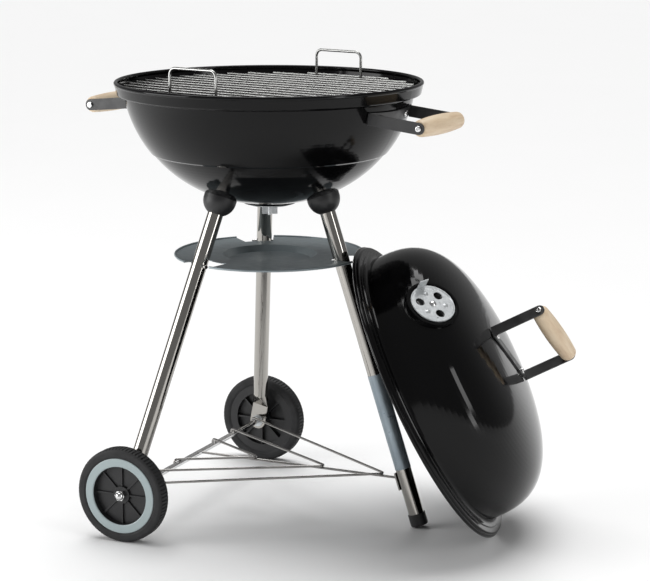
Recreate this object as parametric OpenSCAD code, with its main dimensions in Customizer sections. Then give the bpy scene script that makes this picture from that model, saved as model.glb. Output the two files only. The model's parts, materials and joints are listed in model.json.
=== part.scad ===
// Kettle charcoal grill on three splayed tube legs, two of them wheeled, with its lid
// leaning outside the third. Millimetres, +Z up, floor at z = 0.
// +X points to the foot leg and the axle runs along Y.

/* [Stand] */
// Where the bowl's vertical axis stands along X
bowl_x = -70.9; // [-120:0.1:0]
// Outside radius of the leg tubes
leg_r = 11; // [9:0.5:12]
// Wall thickness of the leg tubes
leg_wall = 1; // [0.8:0.1:1.5]
// Distance from the bowl's axis to the middle of each leg socket
socket_r = 82; // [76:1:90]
// Angle of the foot leg from the vertical
foot_splay = 18.1; // [16:0.1:20]
// Angle of the two wheel legs from the vertical
wheel_splay = 21.6; // [20:0.1:23]
// Outside radius of the round sockets under the bowl
cup_r = 23; // [21:0.5:25]

/* [Wheels] */
// Outside radius of the tyres, which is also the axle's height
tyre_r = 66; // [60:1:72]
// Width of a tyre
tyre_w = 22; // [18:1:24]
// Distance from the middle plane to the middle of each wheel
wheel_y = 219.5; // [216:0.5:226]
// Radius of the axle rod
axle_r = 4; // [3:0.5:4.5]
// Number of cross grooves in each tyre's tread
tread_count = 80; // [24:1:90]

/* [Bowl] */
// Height of the top of the rim above the floor
rim_z = 618; // [600:1:640]
// Outside radius of the rim's rolled bead
rim_r = 215; // [213:0.5:218]
// Outside radius of the wall curve at its widest
wall_r = 205.6; // [204:0.2:206]
// Height and depth of the wall curve, from its widest level to the bottom
wall_h = 197; // [190:1:204]
// Exponent of the wall curve: 2 is an ellipse and more is squarer
wall_power = 2.14; // [2.05:0.01:2.3]
// Height of the pressed step around the wall
step_z = 517; // [505:1:530]
// Thickness of the sheet steel of the bowl and the lid
sheet = 1.2; // [1:0.1:1.5]

/* [Lid] */
// Outside radius of the lid's rolled edge
lid_r = 219.5; // [218.5:0.5:222]
// Radius of the dome where it meets the flange
dome_r = 197; // [190:1:200]
// Height of the lid from its edge to the top of the dome
lid_h = 126.5; // [115:0.5:140]
// Exponent of the dome's curve: 2 is an ellipse and more is squarer
dome_power = 2.9; // [2.4:0.1:3.2]
// Angle of the leaning lid's edge from the vertical
lid_tilt = 27.1; // [27:0.1:27.3]
// Turn of the leaning lid away from the foot leg, seen from above
lid_turn = 15; // [14:0.1:15.5]
// Distance of the leaning lid's rim centre from the bowl's axis along X
lid_x = 235; // [235:0.5:245]
// Distance of the leaning lid's rim centre from the middle plane
lid_y = 9.5; // [9:0.5:18]

/* [Handles] */
// Half the distance between a bracket's two arms
arm_y = 56; // [46:1:56]
// Distance from a bracket's base to its grip's axis
arm_reach = 70; // [42:1:72]
// Width of the bracket's steel strap
strap_w = 16; // [13:1:18]
// Thickness of the strap
strap_t = 2; // [1.5:0.1:2.5]
// Largest radius of a wooden grip
grip_r = 13.5; // [11:0.5:15]
// Radius of a grip at its ends
grip_end_r = 11.5; // [9:0.5:12]
// Height of the side handles' bases
handle_z = 580; // [572:1:586]
// Turn of the pair of side handles around the bowl
handle_turn = -6.5; // [-12:0.5:12]
// Tilt of the side handles' arms below the horizontal
arm_tilt = 5.7; // [4:0.1:12]
// Turn of the lid's handle about the lid's axis
lid_handle_turn = 40; // [0:1:90]

/* [Grates] */
// Number of parallel wires across the cooking grate
grate_wires = 17; // [13:2:21]
// Distance between those wires
grate_pitch = 24; // [18:0.5:24]
// Radius of the cooking grate's ring
grate_r = 204.5; // [203:0.5:206]
// Turn of the cooking grate in the bowl
grate_turn = -11; // [-20:1:20]
// Height of the cooking grate's two wire handles above its ring
grate_handle_h = 42; // [30:1:50]
// Height of the charcoal grate's ring
coal_z = 506; // [500:1:510]
// Radius of the charcoal grate's ring
coal_r = 146.5; // [140:0.5:147]

/* [Ash tray] */
// Height of the tray's flat underside
tray_z = 372; // [360:0.5:372]
// Outside radius of the tray
tray_r = 135; // [130:1:138]
// Radius of the dish in the middle
dish_r = 67; // [60:1:75]
// Depth of the dish
dish_depth = 8; // [5:0.5:10]

/* [Wire rack] */
// Radius of the rack's wires
rack_r = 1.8; // [1.5:0.1:2.5]
// How far out along the axle the three V wires start
rack_ys = [193, 122, 60];
// How far the three V wires' points stand from the bowl's axis along X
rack_xs = [178, 87, -20];

/* [Hidden] */
$fn = 64;

// Finishes
enamel = "#17181a";
steel_black = "#232425";
chrome = "#c9cbcd";
zinc = "#9ea3a6";
plastic_black = "#1c1c1e";
ring_grey = "#8f9496";
beech = "#dcc09a";

// Clearances: between pieces fixed together, of a shaft in its bore, and between pieces that move
seat_gap = 0.05;
run_gap = 0.05;
move_gap = 0.35;

// Turn of each leg around the bowl: the foot leg, then the left and the right wheel leg
LEG_TURNS = [0, 120, -120];
LEG_SPLAYS = [foot_splay, wheel_splay, wheel_splay];
// A leg starts this far below the bowl's skin, inside its socket
leg_start = 7;

// Bowl: the wall curve's widest level, the radius below the pressed step, and the flat bottom seat
wall_z = rim_z + 25;
bottom_z = wall_z - wall_h;
step_depth = 2.5;
low_r = wall_r - step_depth;
seat_r = 37;
shelf_z = rim_z - 18.5;
bead_r = 3;

// Angle around a power curve at which it has the given part of its radius or of its height
function angle_at_r(part, power) = asin(pow(part, power / 2));
function angle_at_z(part, power) = acos(pow(part, power / 2));
// Points of a power curve of radius r and height h hanging from level z, from angle a to b
function hang(r, h, z, power, a, b, n) = [for (i = [0:n]) let (v = a + (b - a) * i / n)
    [r * pow(sin(v), 2 / power), z - h * pow(cos(v), 2 / power)]];
// Points of an arc of radius r about c, from angle a to b
function arc(c, r, a, b, n) = [for (i = [0:n]) let (v = a + (b - a) * i / n)
    [c[0] + r * cos(v), c[1] + r * sin(v)]];
function reverse(points) = [for (i = [len(points) - 1:-1:0]) points[i]];
function bowl_z_at(r) = wall_z - wall_h * pow(1 - pow(r / low_r, wall_power), 1 / wall_power);
function bowl_r_at(z) = wall_r * pow(1 - pow((wall_z - z) / wall_h, wall_power), 1 / wall_power);

socket_z = bowl_z_at(socket_r);
function leg_reach(z, splay) = socket_r + (socket_z - z) * tan(splay);
function leg_length(z, splay) = (socket_z - z) / cos(splay);
axle_z = tyre_r;
axle_x = -leg_reach(axle_z, wheel_splay) / 2;

// Side handles: height, radius and downward tilt of the wall there, and the strap's curve
handle_r = bowl_r_at(handle_z);
handle_tilt = 16;
wall_bend = handle_r / cos(handle_tilt);

// Lid: where the dome starts, and the middle of its vent
dome_z = 16;
dome_h = lid_h - dome_z;
vent_angle = 225;
vent_r = 176;
vent_z = dome_z + dome_h * pow(1 - pow(vent_r / dome_r, dome_power), 1 / dome_power);
vent_tilt = atan2(pow(vent_r, dome_power - 1) / pow(dome_r, dome_power),
    pow(vent_z - dome_z, dome_power - 1) / pow(dome_h, dome_power));
lid_z = (lid_r - bead_r) * cos(lid_tilt) - bead_r * sin(lid_tilt) + bead_r;

// Cooking grate: radii of its ring and its wires, and the wires' height on the ring
grate_ring_r = 2.5;
grate_wire_r = 1.5;
grate_wire_z = grate_ring_r + grate_wire_r - 0.4;

// Vents: radius of the slider disc, its holes and their circle
disc_r = 30.5;
disc_t = 1.2;
hole_r = 6.3;
hole_circle = 17.5;
pivot_r = 2.5;

// --- Placing -------------------------------------------------------------------------

// Everything is drawn about the bowl's axis and moved to its place
module grill() {
    translate([bowl_x, 0, 0]) children();
}

// Along leg i: z = 0 is the bowl's skin, +Z runs down the leg and +X faces inward
module along_leg(i) {
    grill() rotate([0, 0, LEG_TURNS[i]]) translate([socket_r, 0, socket_z])
        rotate([0, 180 - LEG_SPLAYS[i], 0]) children();
}

// At a side handle: z = 0 is the bowl's skin, +Z points out and +X down; side is 1 or -1
module at_side(side) {
    grill() rotate([0, 0, 90 - 90 * side + handle_turn]) translate([handle_r, 0, handle_z])
        rotate([0, 90 + handle_tilt, 0]) children();
}

// The same place, turned up to the line of the handle's arms
module at_arms(side) {
    at_side(side) rotate([0, arm_tilt - handle_tilt, 0]) children();
}

// On the leaning lid: z = 0 is its open side and +Z its dome; +X points down the slope
module on_lid() {
    grill() translate([lid_x, lid_y, lid_z]) rotate([0, 90 - lid_tilt, lid_turn]) children();
}

// At the lid's vent: z = 0 is the dome's skin and +Z points out of it
module at_lid_vent() {
    on_lid() rotate([0, 0, vent_angle]) translate([vent_r, 0, vent_z])
        rotate([0, vent_tilt, 0]) rotate([0, 0, -8]) children();
}

// At the bowl's vent: z = 0 is the flat underside and +Z points down
module at_bowl_vent() {
    grill() translate([0, 0, bottom_z]) rotate([0, 0, 56]) rotate([180, 0, 0]) children();
}

// At a wheel: the axle runs along Z and +Z points outward; side is 1 or -1
module at_wheel(side) {
    grill() translate([axle_x, side * wheel_y, axle_z]) rotate([-90 * side, 0, 0]) children();
}

// --- Shared shapes -------------------------------------------------------------------

// A round rod from a to b
module rod(a, b, r) {
    d = b - a;
    translate(a) rotate([0, acos(d[2] / norm(d)), atan2(d[1], d[0])])
        cylinder(h = norm(d), r = r);
}

function unit(v) = v / norm(v);

// The round bend of a wire that comes to corner p along u and leaves it along w
module wire_bend(p, u, w, r, bend_r) {
    turn = acos(u * w);
    centre = p + unit(w - u) * bend_r / cos(turn / 2);
    start = unit(p - u * bend_r * tan(turn / 2) - centre);
    up = unit(cross(u, w));
    multmatrix([[start[0], u[0], up[0], centre[0]],
        [start[1], u[1], up[1], centre[1]],
        [start[2], u[2], up[2], centre[2]]])
        rotate_extrude(angle = turn) translate([bend_r, 0]) circle(r = r, $fn = 24);
}

// A wire of radius r through the points, bent to radius bend_r at each inner one
module wire(points, r, bend_r) {
    last = len(points) - 1;
    dirs = [for (i = [0:last - 1]) unit(points[i + 1] - points[i])];
    trims = [for (i = [0:last]) i == 0 || i == last ? 0 : bend_r * tan(acos(dirs[i - 1] * dirs[i]) / 2)];
    for (i = [0:last - 1]) rod(points[i] + dirs[i] * trims[i], points[i + 1] - dirs[i] * trims[i + 1], r);
    for (i = [1:1:last - 1]) wire_bend(points[i], dirs[i - 1], dirs[i], r, bend_r);
}

// Points of the round bend at b on the way from a to c
function bend_points(a, b, c, bend_r, n) = let (
    u = unit(b - a),
    w = unit(c - b),
    turn = acos(u * w),
    centre = b + unit(w - u) * bend_r / cos(turn / 2),
    start = unit(b - u * bend_r * tan(turn / 2) - centre)
) [for (i = [0:n]) centre + bend_r * (cos(turn * i / n) * start + sin(turn * i / n) * u)];

// A side vector at each point of a path, carried along it without twisting
function carried(dirs, side, i = 0) = i == len(dirs) ? [] :
    let (next = unit(side - (side * dirs[i]) * dirs[i])) concat([next], carried(dirs, next, i + 1));

// A rod of radius r bent at each inner point, as one closed skin
module bent_rod(corners, r, bend_r) {
    sides = 16;
    last = len(corners) - 1;
    path = concat([corners[0]],
        [for (i = [1:last - 1]) each bend_points(corners[i - 1], corners[i], corners[i + 1], bend_r, 6)],
        [corners[last]]);
    ends = len(path) - 1;
    dirs = [for (i = [0:ends]) unit(path[min(i + 1, ends)] - path[max(i - 1, 0)])];
    across = carried(dirs, [1, 0.2, 0]);
    skin = [for (i = [0:ends], k = [0:sides - 1]) let (turn = 360 * k / sides)
        path[i] + r * (cos(turn) * across[i] + sin(turn) * cross(dirs[i], across[i]))];
    polyhedron(skin, concat([[for (k = [0:sides - 1]) k]],
        [for (i = [0:ends - 1], k = [0:sides - 1]) let (a = i * sides, b = (k + 1) % sides)
            [a + k, a + sides + k, a + sides + b, a + b]],
        [[for (k = [sides - 1:-1:0]) ends * sides + k]]));
}

// A pan-head screw whose head rests on z = 0 and whose shank runs down
module pan_screw(shank_r, length, head_r, head_h) {
    difference() {
        union() {
            translate([0, 0, -length]) cylinder(h = length + head_h / 2, r = shank_r);
            rotate_extrude() polygon(concat([[0, 0], [head_r, 0]],
                arc([head_r - head_h * 0.6, head_h * 0.4], head_h * 0.6, 0, 90, 6), [[0, head_h]]));
        }
        for (turn = [0, 90]) rotate([0, 0, turn])
            translate([-head_r * 0.6, -0.5, head_h * 0.55]) cube([head_r * 1.2, 1, head_h]);
    }
}

// A hexagon nut standing on z = 0
module hex_nut(across_flats, height, bore) {
    difference() {
        cylinder(h = height, r = across_flats / sqrt(3), $fn = 6);
        translate([0, 0, -1]) cylinder(h = height + 2, r = bore);
    }
}

// The three round holes of a vent and its pivot hole, cut through everything near
module vent_holes(pivot) {
    for (turn = [0, 120, 240]) rotate([0, 0, turn])
        translate([hole_circle, 0, -20]) cylinder(h = 40, r = hole_r);
    translate([0, 0, -20]) cylinder(h = 40, r = pivot);
}

// A vent's slider disc with pressed edge, dimples and a bent-up tab
module vent_disc(tab_w, tab_h) {
    difference() {
        union() {
            cylinder(h = disc_t, r = disc_r);
            rotate_extrude() polygon([[disc_r - 2.4, disc_t / 2], [disc_r - 1.6, disc_t + 0.8],
                [disc_r - 0.4, disc_t + 0.8], [disc_r, disc_t / 2]]);
            for (turn = [60, 180, 300]) rotate([0, 0, turn]) translate([hole_circle, 0, disc_t])
                intersection() {
                    translate([0, 0, -5.8]) sphere(r = 7);
                    cylinder(h = 3, r = 4.2);
                }
            rotate([0, 0, -60]) translate([disc_r - 2.4, -tab_w / 2, 0]) cube([disc_t, tab_w, tab_h]);
        }
        vent_holes(pivot_r + run_gap);
    }
}

// A strap bracket's two arms and its grip's screw holes; z = 0 is the base
module bracket_arms(root_z) {
    for (side = [-1, 1]) translate([0, side * (arm_y + strap_t / 2) + strap_t / 2, 0])
        rotate([90, 0, 0]) linear_extrude(strap_t) difference() {
            union() {
                translate([-strap_w / 2, root_z]) square([strap_w, arm_reach - root_z]);
                translate([0, arm_reach]) circle(r = strap_w / 2);
            }
            translate([0, arm_reach]) circle(r = 2.2);
        }
}

// A turned wooden grip between a bracket's arms, with a pilot hole in each end
module barrel_grip() {
    half = arm_y - seat_gap;
    round_end = 6;
    belly = [for (i = [0:16]) let (t = -1 + i / 8)
        [grip_end_r + (grip_r - grip_end_r) * (1 - t * t), t * (half - round_end)]];
    translate([0, 0, arm_reach]) rotate([90, 0, 0]) difference() {
        rotate_extrude() polygon(concat([[0, -half], [grip_end_r - round_end, -half]],
            arc([grip_end_r - round_end, round_end - half], round_end, -75, -15, 4), belly,
            arc([grip_end_r - round_end, half - round_end], round_end, 15, 75, 4),
            [[grip_end_r - round_end, half], [0, half]]));
        for (end = [-1, 1]) translate([0, 0, end * (half - 11)])
            cylinder(h = 24, r = 2.05, center = true);
    }
}

// The two screws that hold a grip between its arms
module grip_screws() {
    for (side = [-1, 1]) translate([0, side * (arm_y + strap_t + seat_gap), arm_reach])
        rotate([-90 * side, 0, 0]) pan_screw(2, 22, 4.4, 2.6);
}

// --- Bowl ----------------------------------------------------------------------------

// Outside of the bowl below the rim, grown by a gap
function bowl_skin(gap) = concat([[0, bottom_z - gap], [seat_r + gap, bottom_z - gap]],
    hang(low_r + gap, wall_h + gap, wall_z, wall_power,
        angle_at_r((seat_r + 2.5) / low_r, wall_power),
        angle_at_z((wall_z - step_z) / wall_h, wall_power), 22),
    hang(wall_r + gap, wall_h + gap, wall_z, wall_power,
        angle_at_z((wall_z - step_z) / wall_h, wall_power) + 0.8,
        angle_at_z((wall_z - shelf_z + 2.5) / wall_h, wall_power), 16));

// Collar above the wall: shelf for the cooking grate, upright band and rolled bead
collar = concat(
    [[204, shelf_z - 0.4], [205.5, shelf_z]],
    arc([209, shelf_z + 2.5], 2.5, -90, -10, 5),
    arc([rim_r - bead_r, rim_z - bead_r], bead_r, -50, 230, 20),
    [[rim_r - 3.4, rim_z - 6.4]],
    reverse(arc([209, shelf_z + 2.5], 2.5 - sheet, -90, -10, 4)),
    [[205.5, shelf_z + sheet], [203.6, shelf_z + sheet - 0.3]]);

module bowl() {
    color(enamel) difference() {
        grill() rotate_extrude($fn = 180) polygon(concat(bowl_skin(0), collar, reverse(bowl_skin(-sheet))));
        at_bowl_vent() vent_holes(pivot_r + 0.1);
        for (i = [0:2]) along_leg(i) cylinder(h = 20, r = 3.25, center = true);
        for (side = [-1, 1]) at_side(side) at_bracket_bolts() cylinder(h = 20, r = 2.7, center = true);
    }
}

module bowl_damper() {
    color(zinc) at_bowl_vent() translate([0, 0, move_gap]) vent_disc(22, 21);
}

module bowl_damper_bolt() {
    color(zinc) at_bowl_vent() translate([0, 0, -sheet - seat_gap]) rotate([180, 0, 0])
        pan_screw(pivot_r, 19, 5.5, 3);
}

module bowl_damper_nut() {
    color(zinc) at_bowl_vent() translate([0, 0, 2 * move_gap + disc_t]) hex_nut(8, 4.5, pivot_r + seat_gap);
}

// --- Side handles --------------------------------------------------------------------

// At the two bolts through a side bracket's curved base, square to the wall
module at_bracket_bolts() {
    for (side = [-1, 1]) translate([0, 0, -wall_bend]) rotate([-9.5 * side, 0, 0])
        translate([0, 0, wall_bend]) children();
}

// Bent strap: a base that follows the wall's curve and two straight arms
module side_bracket(side) {
    base_gap = 0.5;
    root_lift = 1.5;
    half_turn = asin((arm_y + strap_t) / (wall_bend + base_gap + strap_t));
    root_z = (wall_bend + base_gap) * cos(half_turn) - wall_bend;
    color(steel_black) difference() {
        at_side(side) union() {
            translate([-strap_w / 2, 0, -wall_bend]) rotate([0, -90, 180]) rotate([0, 0, -half_turn])
                rotate_extrude(angle = 2 * half_turn, $fn = 180)
                translate([wall_bend + base_gap, 0]) square([strap_t, strap_w]);
            rotate([0, arm_tilt - handle_tilt, 0]) bracket_arms(root_z + root_lift);
        }
        at_side(side) at_bracket_bolts() cylinder(h = 20, r = 2.7, center = true);
    }
}

module side_bracket_right() {
    side_bracket(1);
}

module side_bracket_left() {
    side_bracket(-1);
}

module side_grip_right() {
    color(beech) at_arms(1) barrel_grip();
}

module side_grip_left() {
    color(beech) at_arms(-1) barrel_grip();
}

module side_grip_screws() {
    color(chrome) for (side = [-1, 1]) at_arms(side) grip_screws();
}

module side_bracket_bolts() {
    color(chrome) for (side = [-1, 1]) at_side(side) at_bracket_bolts()
        translate([0, 0, strap_t + 0.6]) pan_screw(2.5, 11, 4.6, 2.6);
}

module side_bracket_nuts() {
    color(zinc) for (side = [-1, 1]) at_side(side) at_bracket_bolts()
        translate([0, 0, -sheet - 4.3]) hex_nut(8, 4, 2.5 + seat_gap);
}

// --- Grates --------------------------------------------------------------------------

// A ring of round wire
module ring(radius, wire_r) {
    rotate_extrude($fn = 180) translate([radius, 0]) circle(r = wire_r, $fn = 24);
}

// Parallel wires across a ring, cut to its chord
module chord_wires(count, pitch, radius, wire_r) {
    for (i = [0:count - 1]) {
        y = (i - (count - 1) / 2) * pitch;
        half = sqrt(radius * radius - y * y);
        translate([-half, y, 0]) rotate([0, 90, 0]) cylinder(h = 2 * half, r = wire_r, $fn = 24);
    }
}

// At the cooking grate: z = 0 is its ring's middle and the wires run along X
module at_grate() {
    grill() rotate([0, 0, grate_turn]) translate([0, 0, shelf_z + sheet + move_gap + grate_ring_r]) children();
}

module cooking_grate() {
    bar_x = 100;
    bar_half = sqrt(grate_r * grate_r - bar_x * bar_x);
    color(chrome) at_grate() {
        ring(grate_r, grate_ring_r);
        translate([0, 0, grate_wire_z])
            chord_wires(grate_wires, grate_pitch, grate_r + 0.5, grate_wire_r);
        for (side = [-1, 1]) translate([side * bar_x, bar_half, 0]) rotate([90, 0, 0])
            cylinder(h = 2 * bar_half, r = grate_ring_r - 0.2, $fn = 24);
    }
}

// Two bent wire handles that stand on the grate's wires
module grate_handles() {
    handle_y = 168;
    half = 39;
    foot = grate_wire_z + grate_wire_r + seat_gap;
    color(chrome) at_grate() for (side = [-1, 1])
        wire([[-half, side * handle_y, foot], [-half, side * handle_y, grate_handle_h],
            [half, side * handle_y, grate_handle_h], [half, side * handle_y, foot]], 2, 9);
}

module charcoal_grate() {
    color(zinc) grill() translate([0, 0, coal_z]) {
        ring(coal_r, 2.5);
        translate([0, 0, 3.6]) chord_wires(9, 30, coal_r + 1, 2);
        for (side = [-1, 1]) {
            half = sqrt(coal_r * coal_r - 60 * 60);
            translate([side * 60, half, 0]) rotate([90, 0, 0]) cylinder(h = 2 * half, r = 2.2);
        }
    }
}

// --- Legs ----------------------------------------------------------------------------

// Round socket between the bowl and a leg, hollowed to the bowl's skin
module socket(i) {
    base = 3;
    color(plastic_black) difference() {
        along_leg(i) union() {
            translate([0, 0, -base]) cylinder(h = 2 * base, r = cup_r);
            translate([0, 0, base]) intersection() {
                sphere(r = cup_r);
                cylinder(h = cup_r, r = cup_r + 1);
            }
        }
        grill() rotate_extrude($fn = 180) polygon(concat(bowl_skin(seat_gap), [[0, shelf_z]]));
        along_leg(i) {
            translate([0, 0, leg_start - seat_gap]) cylinder(h = 40, r = leg_r + seat_gap);
            cylinder(h = 20, r = 3.25, center = true);
        }
    }
}

module socket_foot() {
    socket(0);
}

module socket_wheel_left() {
    socket(1);
}

module socket_wheel_right() {
    socket(2);
}

// Hole through a leg tube for its tray pin, square to the tube and level
module pin_hole(i, r) {
    translate([0, 0, leg_length(pin_z, LEG_SPLAYS[i])]) rotate([90, 0, 0])
        cylinder(h = 60, r = r, center = true);
}

// Plain tube from its socket to a length along the leg
module tube(length) {
    difference() {
        translate([0, 0, leg_start]) cylinder(h = length - leg_start, r = leg_r);
        translate([0, 0, leg_start - 1]) cylinder(h = length - leg_start + 2, r = leg_r - leg_wall);
    }
}

// Height of the tray pins' middles
pin_r = 2.5;
pin_z = tray_z - move_gap - pin_r;
// The foot cap's tread: the leg's cut end stands clear of the floor by the cap's floor
cap_r = leg_r + 1.3;
cap_floor = 3;
foot_length = leg_length(cap_r * sin(foot_splay), foot_splay);

// Where the rack's eye is screwed to the foot leg
rack_z = axle_z + axle_r + rack_r + seat_gap;
eye_length = leg_length(rack_z, foot_splay) + 9;

module leg_foot() {
    color(chrome) difference() {
        along_leg(0) tube(foot_length - cap_floor - seat_gap);
        along_leg(0) pin_hole(0, pin_r + seat_gap);
        along_leg(0) translate([leg_r, 0, eye_length]) rotate([0, 90, 0])
            cylinder(h = 8, r = 2.15, center = true);
    }
}

// Wheel leg: its end is pressed flat and set upright beside the wheel
module leg_wheel(i) {
    side = i == 1 ? 1 : -1;
    flat_w = 25;
    flat_t = 4;
    flat_top = 26;
    flat_y = wheel_y - tyre_w / 2 - 8.5;
    round_end = leg_length(axle_z, wheel_splay) - 50;
    lean = atan(tan(wheel_splay) / 2);
    color(chrome) difference() {
        union() {
            along_leg(i) tube(round_end);
            hull() {
                along_leg(i) translate([0, 0, round_end - 4]) cylinder(h = 3, r = leg_r - 0.4, $fn = 32);
                grill() translate([axle_x, side * flat_y, axle_z]) rotate([0, lean, 0])
                    translate([-flat_w / 2, -flat_t / 2, flat_top]) cube([flat_w, flat_t, 1]);
            }
            grill() translate([axle_x, side * flat_y, axle_z]) rotate([0, lean, 0]) {
                translate([-flat_w / 2, -flat_t / 2, 0]) cube([flat_w, flat_t, flat_top + 0.5]);
                rotate([90, 0, 0]) cylinder(h = flat_t, r = flat_w / 2, center = true);
            }
        }
        along_leg(i) pin_hole(i, pin_r + seat_gap);
        grill() translate([axle_x, 0, axle_z]) rotate([90, 0, 0])
            cylinder(h = 500, r = axle_r + seat_gap, center = true);
    }
}

module leg_wheel_left() {
    leg_wheel(1);
}

module leg_wheel_right() {
    leg_wheel(2);
}

// Threaded plugs in the tops of the tubes
module leg_plugs() {
    color(zinc) for (i = [0:2]) along_leg(i) translate([0, 0, leg_start + 0.3]) difference() {
        cylinder(h = 16, r = leg_r - leg_wall - seat_gap);
        translate([0, 0, -1]) cylinder(h = 18, r = 3 + seat_gap);
    }
}

// A leg isn't quite square to the bowl's skin, so its flat washer stands off by this much
washer_gap = 0.8;
washer_t = 1.6;

module leg_bolts() {
    color(zinc) for (i = [0:2]) along_leg(i) translate([0, 0, -sheet - washer_gap - washer_t - 2 * seat_gap]) rotate([180, 0, 0])
        pan_screw(3, 24, 6, 3.6);
}

module leg_washers() {
    color(zinc) for (i = [0:2]) along_leg(i) translate([0, 0, -sheet - washer_gap - washer_t]) difference() {
        cylinder(h = washer_t, r = 8);
        translate([0, 0, -1]) cylinder(h = 4, r = 3.25);
    }
}

// Plastic cap pushed over the foot leg's end
module foot_cap() {
    length = 17;
    color(plastic_black) along_leg(0) translate([0, 0, foot_length - length]) difference() {
        union() {
            cylinder(h = length - 1.5, r = cap_r);
            translate([0, 0, length - 1.5]) cylinder(h = 1.5, r1 = cap_r, r2 = cap_r - 0.8);
        }
        translate([0, 0, -1]) cylinder(h = length - cap_floor + 1, r = leg_r + seat_gap);
    }
}

// Plain foil sleeve around the lower part of the foot leg
module leg_label() {
    foil = 0.3;
    start = leg_length(214, foot_splay);
    color(ring_grey) along_leg(0) translate([0, 0, start]) difference() {
        cylinder(h = 138, r = leg_r + seat_gap + foil);
        translate([0, 0, -1]) cylinder(h = 140, r = leg_r + seat_gap);
    }
}

// --- Ash tray ------------------------------------------------------------------------

module ash_tray() {
    plate = 1.2;
    edge = 1.6;
    color(zinc) grill() difference() {
        rotate_extrude($fn = 180) polygon(concat(
            [[0, tray_z - dish_depth], [dish_r - 9, tray_z - dish_depth], [dish_r, tray_z],
                [tray_r - 2 * edge, tray_z]],
            arc([tray_r - edge, tray_z + edge], edge, -90, 165, 12),
            [[tray_r - 2 * edge, tray_z + plate], [dish_r - 0.4, tray_z + plate],
                [dish_r - 9.4, tray_z + plate - dish_depth], [0, tray_z + plate - dish_depth]]));
        for (turn = LEG_TURNS) rotate([0, 0, turn - 6.5]) rotate_extrude(angle = 24, $fn = 180)
            translate([97, tray_z - 5]) square([50, 15]);
    }
}

// Level pins through the legs that the tray rests on
module tray_pins() {
    color(chrome) for (i = [0:2]) along_leg(i)
        translate([0, 0, leg_length(pin_z, LEG_SPLAYS[i])]) rotate([90, 0, 0])
        cylinder(h = 36, r = pin_r, center = true);
}

// --- Wheels --------------------------------------------------------------------------

hub_outer = 5;
flat_half = 2;
leg_flat_out = tyre_w / 2 + 8.5 - flat_half;

module axle() {
    half = wheel_y + hub_outer + 7;
    color(chrome) grill() translate([axle_x, 0, axle_z]) rotate([90, 0, 0])
        cylinder(h = 2 * half, r = axle_r, center = true);
}

// Washers on both sides of each leg's flat end
module axle_washers() {
    color(zinc) for (side = [-1, 1]) at_wheel(side)
        for (z = [-leg_flat_out + seat_gap, -leg_flat_out - 2 * flat_half - 1.5 - seat_gap])
            translate([0, 0, z]) difference() {
                cylinder(h = 1.5, r = 9);
                translate([0, 0, -1]) cylinder(h = 4, r = axle_r + seat_gap);
            }
}

// Domed nuts on the axle's ends
module cap_nuts() {
    color(chrome) for (side = [-1, 1]) at_wheel(side) translate([0, 0, hub_outer + move_gap]) difference() {
        union() {
            cylinder(h = 5.5, r = 13 / sqrt(3), $fn = 6);
            translate([0, 0, 4.6]) intersection() {
                sphere(r = 6.2);
                cylinder(h = 8, r = 7);
            }
        }
        translate([0, 0, -1]) cylinder(h = 8.2, r = axle_r + seat_gap);
    }
}

// Moulded wheel: hub, web, ribs on both faces and rim
module wheel_hub(side) {
    rim_in = 41;
    rim_out = 52.9;
    deep = tyre_w / 2 - 1.4;
    inner_end = -leg_flat_out + 1.5 + seat_gap + move_gap;
    color(plastic_black) at_wheel(side) difference() {
        union() {
            rotate_extrude() polygon([[0, inner_end], [11, inner_end], [14, -4], [14, -1.5], [rim_in, -1.5],
                [rim_in, -deep], [rim_out, -deep], [rim_out, deep], [rim_in, deep], [rim_in - 1, 1.5],
                [13, 1.5], [12, hub_outer], [0, hub_outer]]);
            for (turn = [0:45:315]) rotate([0, 0, turn]) {
                translate([10, -1.2, -deep + 2]) cube([rim_in - 9, 2.4, deep - 1]);
                translate([10, -1.2, 0]) cube([rim_in - 9.5, 2.4, 4]);
            }
        }
        cylinder(h = 60, r = axle_r + run_gap, center = true);
    }
}

module wheel_hub_left() {
    wheel_hub(1);
}

module wheel_hub_right() {
    wheel_hub(-1);
}

// Tyre with rounded shoulders and cross grooves
module tyre(side) {
    half = tyre_w / 2;
    shoulder = 5;
    inner = 53;
    groove_w = 1.5;
    color(steel_black) at_wheel(side) difference() {
        rotate_extrude($fn = 120) polygon(concat(
            [[inner, -half + 1], [inner + 3, -half]],
            arc([tyre_r - shoulder, -half + shoulder], shoulder, -90, 0, 6),
            arc([tyre_r - shoulder, half - shoulder], shoulder, 0, 90, 6),
            [[inner + 3, half], [inner, half - 1]]));
        for (i = [0:tread_count - 1]) rotate([0, 0, i * 360 / tread_count])
            translate([tyre_r - 1.4, -groove_w / 2, -half - 1]) cube([5, groove_w, tyre_w + 2]);
    }
}

module tyre_left() {
    tyre(1);
}

module tyre_right() {
    tyre(-1);
}

// Grey ring on the wheel's outer face
module wheel_ring(side) {
    color(ring_grey) at_wheel(side) translate([0, 0, tyre_w / 2 - 1.4 + seat_gap]) rotate_extrude($fn = 120)
        polygon([[41.2, 0], [52.6, 0], [52.6, 1], [51.6, 1.5], [42.4, 1.5], [41.2, 0.8]]);
}

module wheel_ring_left() {
    wheel_ring(1);
}

module wheel_ring_right() {
    wheel_ring(-1);
}

// --- Wire rack -----------------------------------------------------------------------

// One bent wire: it hooks down behind the axle, runs out to a point and comes back
module rack_wire(i) {
    tail = 12;
    back = axle_x - axle_r - rack_r - 1;
    color(chrome) grill() bent_rod([[back, rack_ys[i], rack_z - tail], [back, rack_ys[i], rack_z],
        [rack_xs[i], 0, rack_z], [back, -rack_ys[i], rack_z], [back, -rack_ys[i], rack_z - tail]],
        rack_r, 5);
}

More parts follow.
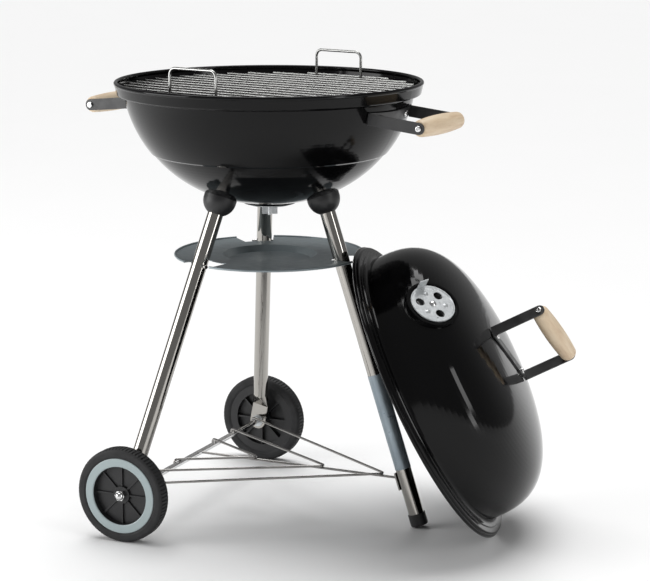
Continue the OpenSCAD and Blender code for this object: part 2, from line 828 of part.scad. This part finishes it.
module rack_wire_outer() {
    rack_wire(0);
}

module rack_wire_middle() {
    rack_wire(1);
}

module rack_wire_inner() {
    rack_wire(2);
}

// Straight wire under the three points, with the eye that is screwed to the foot leg
module rack_spine() {
    spine_z = rack_z - 2 * rack_r - seat_gap;
    spine_x = leg_reach(spine_z, foot_splay) - (leg_r + seat_gap + 1) / cos(foot_splay);
    color(chrome) difference() {
        union() {
            grill() rod([axle_x + axle_r + 3, 0, spine_z], [spine_x, 0, spine_z], rack_r);
            along_leg(0) translate([leg_r + seat_gap, -7, eye_length - 17]) cube([2, 14, 25]);
        }
        along_leg(0) translate([leg_r, 0, eye_length]) rotate([0, 90, 0])
            cylinder(h = 8, r = 2.15, center = true);
    }
}

module rack_screw() {
    color(chrome) along_leg(0) translate([leg_r + seat_gap + 2.05, 0, eye_length]) rotate([0, 90, 0])
        pan_screw(2, 12, 4.2, 2.4);
}

// --- Lid -----------------------------------------------------------------------------

// Dome, flange and rolled edge from the top down, and the inside back up
function dome(inset) = reverse([for (p = hang(dome_r - inset, dome_h - inset, 0, dome_power, 0, 90, 30))
    [p[0], dome_z - p[1]]]);
lid_outside = concat(reverse(dome(0)),
    arc([dome_r + 5, dome_z], 5, 180, 270, 5),
    [[dome_r + 9.5, dome_z - 5], [dome_r + 10.5, dome_z - 6.2]],
    arc([lid_r - 5.4, dome_z - 9.2], 3, 90, 0, 5),
    arc([lid_r - bead_r, bead_r], bead_r, 78, -258, 24));
lid_inside = concat(
    arc([lid_r - 5.4, dome_z - 9.2], 1.8, 0, 90, 4),
    [[dome_r + 10, dome_z - 6.2 - sheet], [dome_r + 9, dome_z - 5 - sheet]],
    arc([dome_r + 5, dome_z], 5 + sheet, 270, 180, 5),
    dome(sheet));

module lid() {
    pad_r = 36.5;
    color(enamel) difference() {
        on_lid() rotate_extrude($fn = 180) polygon(concat(lid_outside, lid_inside));
        at_lid_vent() vent_holes(pivot_r + 0.1);
        on_lid() at_lid_bolts() cylinder(h = 20, r = 2.7, center = true);
    }
    color(enamel) difference() {
        at_lid_vent() difference() {
            translate([0, 0, -11]) cylinder(h = 13.2, r = pad_r);
            translate([0, 0, 0.8]) cylinder(h = 5, r = pad_r - 3.2);
            vent_holes(pivot_r + 0.1);
        }
        on_lid() rotate_extrude($fn = 180) polygon(concat(dome(sheet), [[0, 0]]));
    }
}

module lid_damper() {
    color(zinc) at_lid_vent() translate([0, 0, 0.8 + move_gap]) vent_disc(14, 16);
}

// Rivet that the slider turns on, closed over inside the lid
module lid_damper_rivet() {
    head_z = 0.8 + 2 * move_gap + disc_t;
    color(chrome) at_lid_vent() union() {
        translate([0, 0, -3]) cylinder(h = head_z + 3.5, r = pivot_r);
        translate([0, 0, head_z]) intersection() {
            translate([0, 0, -3.5]) sphere(r = 6);
            cylinder(h = 5, r = 4.8);
        }
        translate([0, 0, -sheet - 2.4]) cylinder(h = 1.6, r = 4);
    }
}

// At the two bolts through the lid bracket's base
module at_lid_bolts() {
    rotate([0, 0, lid_handle_turn]) for (side = [-1, 1]) translate([side * 45, 0, lid_h]) children();
}

module at_lid_handle() {
    on_lid() translate([0, 0, lid_h]) rotate([0, 0, lid_handle_turn - 90]) children();
}

module lid_bracket() {
    color(steel_black) difference() {
        at_lid_handle() union() {
            translate([-strap_w / 2, -arm_y - strap_t, seat_gap]) cube([strap_w, 2 * (arm_y + strap_t), strap_t]);
            bracket_arms(seat_gap);
        }
        on_lid() at_lid_bolts() cylinder(h = 20, r = 2.7, center = true);
    }
}

module lid_grip() {
    color(beech) at_lid_handle() barrel_grip();
}

module lid_grip_screws() {
    color(chrome) at_lid_handle() grip_screws();
}

module lid_bracket_bolts() {
    color(chrome) on_lid() at_lid_bolts() translate([0, 0, strap_t + 0.1]) pan_screw(2.5, 11, 4.6, 2.6);
}

module lid_bracket_nuts() {
    color(zinc) on_lid() at_lid_bolts() translate([0, 0, -sheet - 5.2]) hex_nut(8, 4, 2.5 + seat_gap);
}

// --- Nodes ---------------------------------------------------------------------------

bowl();
cooking_grate();
grate_handles();
charcoal_grate();
bowl_damper();
bowl_damper_bolt();
bowl_damper_nut();
side_bracket_right();
side_bracket_left();
side_grip_right();
side_grip_left();
side_grip_screws();
side_bracket_bolts();
side_bracket_nuts();
socket_foot();
socket_wheel_left();
socket_wheel_right();
leg_foot();
leg_wheel_left();
leg_wheel_right();
leg_plugs();
leg_bolts();
leg_washers();
foot_cap();
leg_label();
ash_tray();
tray_pins();
axle();
axle_washers();
cap_nuts();
wheel_hub_left();
wheel_hub_right();
tyre_left();
tyre_right();
wheel_ring_left();
wheel_ring_right();
rack_wire_outer();
rack_wire_middle();
rack_wire_inner();
rack_spine();
rack_screw();
lid();
lid_damper();
lid_damper_rivet();
lid_bracket();
lid_grip();
lid_grip_screws();
lid_bracket_bolts();
lid_bracket_nuts();
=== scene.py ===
# Kettle charcoal grill: finishes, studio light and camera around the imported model. Metres, +Z up.
import json
import math

import bpy
import numpy as np
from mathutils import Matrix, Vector


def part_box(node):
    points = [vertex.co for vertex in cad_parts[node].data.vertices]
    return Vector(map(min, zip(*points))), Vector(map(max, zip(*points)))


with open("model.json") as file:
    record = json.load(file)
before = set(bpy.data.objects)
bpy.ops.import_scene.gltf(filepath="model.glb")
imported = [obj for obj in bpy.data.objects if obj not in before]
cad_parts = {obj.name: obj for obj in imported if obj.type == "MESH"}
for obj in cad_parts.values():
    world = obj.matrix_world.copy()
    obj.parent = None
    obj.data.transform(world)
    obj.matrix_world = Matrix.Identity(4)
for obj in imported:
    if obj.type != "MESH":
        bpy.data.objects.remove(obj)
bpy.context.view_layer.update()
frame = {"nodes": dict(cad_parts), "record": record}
NODES = frame["nodes"]
SLOT_OF = {part["node"]: part["material_slot"] for part in frame["record"]["subparts"]}


# --- Node trees ----------------------------------------------------------------------

class Finish:
    """A material under construction, with its shader and the object's own coordinates."""

    def __init__(self, name, color=None, **sockets):
        self.material = bpy.data.materials.new(name)
        self.material.use_nodes = True
        self.tree = self.material.node_tree
        self.shader = self.tree.nodes["Principled BSDF"]
        self.place = self.tree.nodes.new("ShaderNodeTexCoord").outputs["Object"]
        if color:
            self.shader.inputs["Base Color"].default_value = (*color, 1)
        for socket, value in sockets.items():
            self.shader.inputs[socket.replace("_", " ")].default_value = value

    def node(self, kind, **settings):
        made = self.tree.nodes.new("ShaderNode" + kind)
        for key, value in settings.items():
            setattr(made, key, value)
        return made

    def link(self, a, b):
        self.tree.links.new(a, b)

    def noise(self, scale, detail=4.0, rough=0.55, place=None):
        """Noise whose grains are 1/scale metres across."""
        made = self.node("TexNoise")
        made.inputs["Scale"].default_value = scale
        made.inputs["Detail"].default_value = detail
        made.inputs["Roughness"].default_value = rough
        self.link(place or self.place, made.inputs["Vector"])
        return made.outputs["Fac"]

    def spread(self, value, low, high, start=0.3, end=0.7):
        """value from start to end, spread over low to high."""
        made = self.node("MapRange")
        names = ("From Min", "From Max", "To Min", "To Max")
        for name, number in zip(names, (start, end, low, high)):
            made.inputs[name].default_value = number
        self.link(value, made.inputs["Value"])
        return made.outputs["Result"]

    def roughness(self, value, low, high):
        self.link(self.spread(value, low, high), self.shader.inputs["Roughness"])

    def colors(self, value, stops):
        """The surface colour, from value through (position, colour) stops."""
        ramp = self.node("ValToRGB")
        while len(ramp.color_ramp.elements) < len(stops):
            ramp.color_ramp.elements.new(0.5)
        for element, (position, color) in zip(ramp.color_ramp.elements, stops):
            element.position = position
            element.color = (*color, 1)
        self.link(value, ramp.inputs["Fac"])
        self.link(ramp.outputs["Color"], self.shader.inputs["Base Color"])

    def bump(self, value, height, strength):
        """Relief of the given height in metres."""
        made = self.node("Bump")
        made.inputs["Strength"].default_value = strength
        made.inputs["Distance"].default_value = height
        self.link(value, made.inputs["Height"])
        self.link(made.outputs["Normal"], self.shader.inputs["Normal"])

    def along(self, axes, stretch):
        """The object's coordinates along three axes, each scaled by its stretch."""
        joined = self.node("CombineXYZ")
        for socket, axis, scale in zip("XYZ", axes, stretch):
            dot = self.node("VectorMath", operation="DOT_PRODUCT")
            self.link(self.place, dot.inputs[0])
            dot.inputs[1].default_value = Vector(axis) * scale
            self.link(dot.outputs["Value"], joined.inputs[socket])
        return joined.outputs["Vector"]


def axes_of(node):
    """The node's long axis and two across it, from the spread of its vertices."""
    points = np.array([v.co for v in NODES[node].data.vertices])
    return np.linalg.svd(points - points.mean(0), full_matrices=False)[2]


# --- Finishes ------------------------------------------------------------------------

def enamel():
    """Black fired enamel: smooth, with a very slight waviness in its gloss."""
    made = Finish("enamel", (0.0018, 0.0018, 0.002), Specular_IOR_Level=0.2)
    made.roughness(made.noise(9), 0.07, 0.15)
    made.bump(made.noise(150, 2), 0.00002, 0.35)
    return made.material


def black_steel():
    """Powder-coated steel."""
    made = Finish("black_steel", (0.016, 0.016, 0.017))
    made.roughness(made.noise(60), 0.28, 0.46)
    made.bump(made.noise(1800, 2), 0.00003, 0.5)
    return made.material


def chrome(name, color, low, high):
    """Plated metal, whose haze varies from low to high roughness."""
    made = Finish(name, color, Metallic=1.0)
    made.roughness(made.noise(35, 6), low, high)
    made.bump(made.noise(420, 2), 0.000008, 0.3)
    return made.material


def zinc_steel():
    """Zinc-plated steel with a fine mottle."""
    made = Finish("zinc_steel", Metallic=0.6)
    made.colors(made.noise(260, 5), [(0.3, (0.46, 0.48, 0.49)), (0.7, (0.62, 0.64, 0.65))])
    made.roughness(made.noise(120), 0.26, 0.42)
    made.bump(made.noise(900, 3), 0.00002, 0.4)
    return made.material


def tray_steel():
    """The ash tray's blue-grey satin sheet."""
    made = Finish("tray_steel", Metallic=0.4)
    made.colors(made.noise(14, 6), [(0.25, (0.24, 0.28, 0.3)), (0.75, (0.31, 0.36, 0.38))])
    made.roughness(made.noise(80), 0.33, 0.5)
    made.bump(made.noise(1500, 2), 0.00003, 0.35)
    return made.material


def beech(node):
    """Beech with its grain along the grip: pale bands, fine flecks and a dry sealed skin."""
    made = Finish("beech_" + node, Coat_Weight=0.12, Coat_Roughness=0.35)
    axes = axes_of(node)
    bands = made.noise(1, 5, 0.6, made.along(axes, (16, 130, 130)))
    flecks = made.noise(1, 2, 0.5, made.along(axes, (190, 1500, 1500)))
    brown, tan, cream = (0.58, 0.42, 0.27), (0.7, 0.55, 0.38), (0.79, 0.66, 0.49)
    made.colors(bands, [(0.3, brown), (0.5, tan), (0.72, cream)])
    made.roughness(flecks, 0.42, 0.62)
    made.bump(flecks, 0.00006, 0.5)
    return made.material


def plastic(name, color, low, high):
    """Moulded plastic or rubber with a fine grained skin."""
    made = Finish(name, color)
    made.roughness(made.noise(70), low, high)
    made.bump(made.noise(2200, 2), 0.00004, 0.5)
    return made.material


def foil():
    """Thin satin foil, a little creased where it was wrapped."""
    made = Finish("foil", Metallic=0.6)
    made.colors(made.noise(20, 3), [(0.3, (0.26, 0.31, 0.35)), (0.7, (0.34, 0.4, 0.44))])
    made.roughness(made.noise(90), 0.26, 0.4)
    made.bump(made.noise(75, 3), 0.00012, 0.35)
    return made.material


FINISHES = {
    "enamel": enamel(),
    "black_steel": black_steel(),
    "grate_wire": chrome("grate_wire", (0.4, 0.4, 0.39), 0.16, 0.3),
    "rack_wire": chrome("rack_wire", (0.32, 0.31, 0.3), 0.12, 0.26),
    "leg_chrome": chrome("leg_chrome", (0.4, 0.385, 0.36), 0.05, 0.12),
    "bright_steel": chrome("bright_steel", (0.74, 0.74, 0.74), 0.08, 0.18),
    "zinc_steel": zinc_steel(),
    "tray_steel": tray_steel(),
    "black_plastic": plastic("black_plastic", (0.011, 0.011, 0.012), 0.38, 0.52),
    "tyre_rubber": plastic("tyre_rubber", (0.014, 0.014, 0.015), 0.62, 0.8),
    "grey_plastic": plastic("grey_plastic", (0.37, 0.44, 0.45), 0.3, 0.42),
    "foil": foil(),
}


def paint():
    """Each node takes its slot's finish. Each grip has a beech of its own, for its grain's direction."""
    for name, obj in NODES.items():
        slot = SLOT_OF[name]
        obj.data.materials.clear()
        obj.data.materials.append(beech(name) if slot == "beech" else FINISHES[slot])


# --- Studio --------------------------------------------------------------------------

FLOOR_HALF = 12
ROOM_LIGHT = 0.25

bowl_low, bowl_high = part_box("bowl")
AXIS = (bowl_low + bowl_high) / 2
AXIS.z = 0


def put(name, data):
    obj = bpy.data.objects.new(name, data)
    bpy.context.scene.collection.objects.link(obj)
    return obj


def floor():
    """A plain pale square, FLOOR_HALF metres out to each side."""
    mesh = bpy.data.meshes.new("studio_floor")
    corners = [(-1, -1), (1, -1), (1, 1), (-1, 1)]
    mesh.from_pydata([(x * FLOOR_HALF, y * FLOOR_HALF, 0) for x, y in corners], [], [(0, 1, 2, 3)])
    made = Finish("studio_floor", (0.94, 0.94, 0.94))
    made.roughness(made.noise(3), 0.7, 0.8)
    mesh.materials.append(made.material)
    put("studio_floor", mesh)


def overhead():
    """A wide soft light from above, tipped a little off the vertical."""
    light = bpy.data.lights.new("overhead", "SUN")
    light.energy = 2.5
    light.angle = math.radians(50)
    put("overhead", light).rotation_euler = (math.radians(-14), math.radians(-8), 0)


def softbox(name, place, target, size, power):
    """An area light at place, turned to face target; both are measured from the bowl's axis."""
    light = bpy.data.lights.new(name, "AREA")
    light.shape = "RECTANGLE"
    light.size, light.size_y = size
    light.energy = power
    obj = put(name, light)
    obj.location = AXIS + Vector(place)
    obj.rotation_euler = (Vector(target) - Vector(place)).to_track_quat("-Z", "Y").to_euler()


def studio():
    """A dim plain room with a broad light above, a softbox on the left and a strip on the right."""
    world = bpy.data.worlds.new("studio")
    world.use_nodes = True
    background = world.node_tree.nodes["Background"]
    background.inputs["Color"].default_value = (1, 1, 1, 1)
    background.inputs["Strength"].default_value = ROOM_LIGHT
    bpy.context.scene.world = world
    bpy.context.scene.view_settings.view_transform = "Standard"
    overhead()
    middle = (0, 0, 0.4)
    softbox("left_softbox", (-2.2, -1.6, 0.9), middle, (2.0, 1.5), 42)
    softbox("right_strip", (2.6, -0.6, 0.9), middle, (0.35, 1.8), 12)


def camera():
    """A long lens well back from the grill, looking down a little and in from the foot leg's side."""
    data = bpy.data.cameras.new("camera")
    data.sensor_width = 36
    data.lens = 114.96
    away, side, height = 2.879, math.radians(25.88), 0.9177
    dip, swing = math.radians(11.745), math.radians(24.336)
    obj = put("camera", data)
    obj.location = AXIS + Vector((away * math.sin(side), -away * math.cos(side), height))
    obj.rotation_euler = (math.pi / 2 - dip, 0, swing)
    bpy.context.scene.camera = obj


paint()
floor()
studio()
camera()
